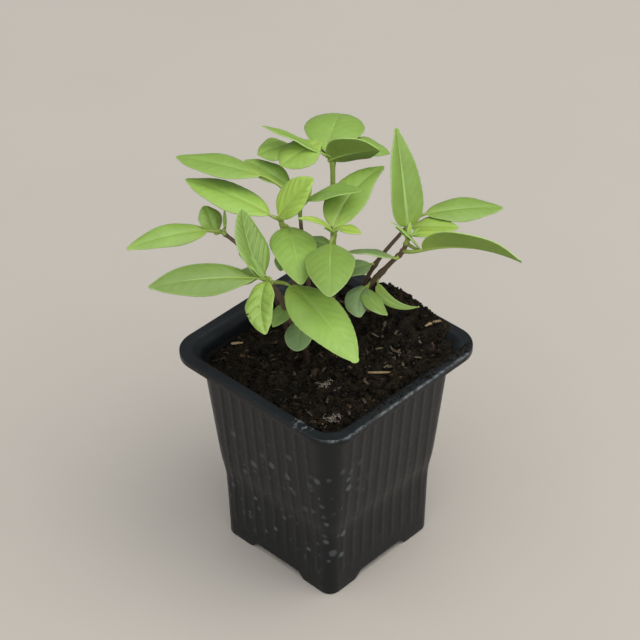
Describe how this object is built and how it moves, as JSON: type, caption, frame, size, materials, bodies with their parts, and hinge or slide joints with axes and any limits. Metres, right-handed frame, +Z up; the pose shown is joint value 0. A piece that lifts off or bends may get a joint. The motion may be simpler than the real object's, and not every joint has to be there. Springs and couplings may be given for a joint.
{
  "type": "potted thai basil",
  "caption": "Young bushy Thai basil plant with pointed leaves, growing in soil in a square plastic nursery pot.",
  "frame": {"origin": "middle of the surface that the pot stands on, under the middle of the whole part's box", "axes": "+Z up along the pot's height, X and Y along the sides of the square pot; the plant's front faces the pot's near corner at +X -Y"},
  "size_m": [0.1372, 0.131, 0.1899],
  "materials": {
    "pot": "semi-matt black injection-moulded plastic with water marks",
    "soil": "moist dark peat and bark compost",
    "leaf": "satin fresh leaf, paler below, purplish brown stems",
    "straw": "dry straw",
    "fibre": "pale wood fibre"
  },
  "bodies": {
    "root": {"pot": "pot", "soil": "soil", "front_left_stem": "leaf", "far_left_stem": "leaf", "left_stem": "leaf", "middle_stem": "leaf", "centre_stem": "leaf", "tall_back_stem": "leaf", "right_stem": "leaf", "back_right_stem": "leaf", "straw_front": "straw", "straw_left": "straw", "straw_on_rim": "straw", "fibre_front": "fibre", "fibre_near_corner": "fibre"}
  },
  "joints": []
}
